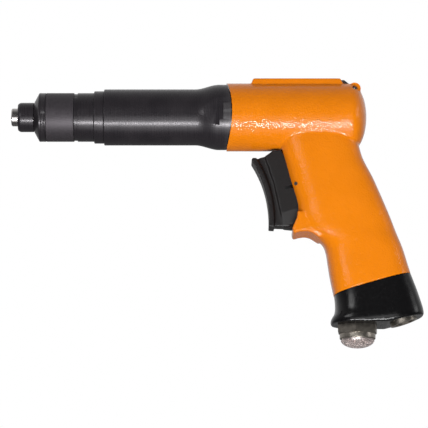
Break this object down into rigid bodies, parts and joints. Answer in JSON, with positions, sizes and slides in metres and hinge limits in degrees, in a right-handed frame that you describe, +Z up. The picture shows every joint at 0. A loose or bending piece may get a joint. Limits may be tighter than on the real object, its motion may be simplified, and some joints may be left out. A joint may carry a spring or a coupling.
{
  "type": "pistol grip pneumatic screwdriver",
  "caption": "Orange pistol-grip air screwdriver with a long black gear and clutch neck, hex quick-change chuck, slide trigger, black boot, exhaust silencer and folding hanger.",
  "frame": {"origin": "centre of the chuck mouth on the barrel's axis", "axes": "+X back along the barrel, +Z up away from the grip, +Y across"},
  "size_m": [0.2427, 0.0404, 0.1601],
  "materials": {
    "orange_paint": "orange-peel gloss enamel on cast aluminium",
    "boot_black": "glossy black moulded cap",
    "blackened_steel": "satin black oxide",
    "matt_ring": "matt grey-black phosphate",
    "bright_steel": "ground bright steel",
    "nickel": "nickel plated, worn bright",
    "sintered": "fine wire mesh",
    "trigger_plastic": "fine moulded texture",
    "machined_steel": "machined, lightly oiled",
    "bearing_steel": "polished bearing steel",
    "spring_steel": "drawn spring wire",
    "bronze": "sintered bronze and brass",
    "motor_iron": "ground iron",
    "vane_board": "brown phenolic board",
    "black_rubber": "nitrile rubber",
    "felt": "pressed felt",
    "dark_wire": "zinc plated wire, dull"
  },
  "bodies": {
    "root": {"housing": "orange_paint", "handle_boot": "boot_black", "inlet_bushing": "nickel", "inlet_screen": "sintered", "silencer_body": "nickel", "silencer_mesh": "sintered", "silencer_felt": "felt", "gear_housing": "blackened_steel", "coupling_nut": "blackened_steel", "clutch_housing": "blackened_steel", "cover_oring": "black_rubber", "nose_cap": "blackened_steel", "nose_bush": "bronze", "output_bearing_outer": "bearing_steel", "ring_gear": "machined_steel", "gear_spacer": "motor_iron", "front_plate": "motor_iron", "motor_liner": "motor_iron", "rear_plate": "motor_iron", "front_bearing_outer": "bearing_steel", "rear_bearing_outer": "bearing_steel", "motor_washer": "machined_steel", "trigger_pin": "bright_steel", "valve_bush": "bronze", "valve_seat": "black_rubber", "hanger_pin": "bright_steel"},
    "cover_ring": {"clutch_cover": "matt_ring"},
    "output_shaft": {"spindle": "bright_steel", "chuck_ball": "bearing_steel", "chuck_ring": "machined_steel", "adjusting_nut": "machined_steel", "clutch_spring": "spring_steel", "spring_washer": "machined_steel", "driven_jaw": "machined_steel", "clutch_balls": "bearing_steel", "output_carrier": "machined_steel", "output_bearing_inner": "bearing_steel", "output_pins": "machined_steel"},
    "quick_change_sleeve": {"chuck_sleeve": "blackened_steel", "chuck_spring": "spring_steel"},
    "input_carrier_body": {"input_carrier": "machined_steel", "input_pins": "machined_steel"},
    "motor_rotor": {"rotor": "machined_steel", "rotor_vanes": "vane_board", "front_bearing_inner": "bearing_steel", "rear_bearing_inner": "bearing_steel"},
    "trigger_body": {"trigger": "trigger_plastic", "valve_stem": "bronze", "valve_spring": "spring_steel"},
    "bail": {"hanger_bail": "dark_wire"},
    "output_planet_1_body": {"output_planet_1": "machined_steel"},
    "output_planet_2_body": {"output_planet_2": "machined_steel"},
    "output_planet_3_body": {"output_planet_3": "machined_steel"},
    "input_planet_1_body": {"input_planet_1": "machined_steel"},
    "input_planet_2_body": {"input_planet_2": "machined_steel"},
    "input_planet_3_body": {"input_planet_3": "machined_steel"}
  },
  "joints": [
    {"name": "spindle_spin", "type": "hinge", "parent": "root", "child": "output_shaft", "pos_m": [0.03, 0, 0], "axis": [1, 0, 0], "continuous": true},
    {"name": "cover_ring_turn", "type": "hinge", "parent": "root", "child": "cover_ring", "pos_m": [0.029, 0, 0], "axis": [1, 0, 0], "continuous": true},
    {"name": "sleeve_slide", "type": "slide", "parent": "output_shaft", "child": "quick_change_sleeve", "axis": [-1, 0, 0], "range_m": [0, 0.0024], "stiffness_N_per_m": 1500, "springref_m": -0.003, "deforming": ["chuck_spring"]},
    {"name": "input_carrier_spin", "type": "hinge", "parent": "root", "child": "input_carrier_body", "pos_m": [0.1, 0, 0], "axis": [1, 0, 0], "continuous": true},
    {"name": "rotor_spin", "type": "hinge", "parent": "root", "child": "motor_rotor", "pos_m": [0.165, 0, 0], "axis": [1, 0, 0], "continuous": true},
    {"name": "trigger_slide", "type": "slide", "parent": "root", "child": "trigger_body", "axis": [0.9588, 0, 0.284], "range_m": [0, 0.005], "stiffness_N_per_m": 2200, "springref_m": -0.003, "deforming": ["valve_spring"]},
    {"name": "bail_hinge", "type": "hinge", "parent": "root", "child": "bail", "pos_m": [0.2033, 0, 0.0155], "axis": [0, 1, 0], "range_deg": [0, 100]},
    {"name": "output_planet_1_spin", "type": "hinge", "parent": "output_shaft", "child": "output_planet_1_body", "pos_m": [0.094, 0, 0.0084], "axis": [1, 0, 0], "continuous": true},
    {"name": "output_planet_2_spin", "type": "hinge", "parent": "output_shaft", "child": "output_planet_2_body", "pos_m": [0.094, -0.00728, -0.0042], "axis": [1, 0, 0], "continuous": true},
    {"name": "output_planet_3_spin", "type": "hinge", "parent": "output_shaft", "child": "output_planet_3_body", "pos_m": [0.094, 0.00728, -0.0042], "axis": [1, 0, 0], "continuous": true},
    {"name": "input_planet_1_spin", "type": "hinge", "parent": "input_carrier_body", "child": "input_planet_1_body", "pos_m": [0.105, 0, 0.0084], "axis": [1, 0, 0], "continuous": true},
    {"name": "input_planet_2_spin", "type": "hinge", "parent": "input_carrier_body", "child": "input_planet_2_body", "pos_m": [0.105, -0.00728, -0.0042], "axis": [1, 0, 0], "continuous": true},
    {"name": "input_planet_3_spin", "type": "hinge", "parent": "input_carrier_body", "child": "input_planet_3_body", "pos_m": [0.105, 0.00728, -0.0042], "axis": [1, 0, 0], "continuous": true}
  ],
  "couplings": [
    {"joint": "input_carrier_spin", "follows": "spindle_spin", "ratio": 4},
    {"joint": "rotor_spin", "follows": "spindle_spin", "ratio": 16},
    {"joint": "output_planet_1_spin", "follows": "spindle_spin", "ratio": -3},
    {"joint": "output_planet_2_spin", "follows": "spindle_spin", "ratio": -3},
    {"joint": "output_planet_3_spin", "follows": "spindle_spin", "ratio": -3},
    {"joint": "input_planet_1_spin", "follows": "spindle_spin", "ratio": -12},
    {"joint": "input_planet_2_spin", "follows": "spindle_spin", "ratio": -12},
    {"joint": "input_planet_3_spin", "follows": "spindle_spin", "ratio": -12}
  ]
}
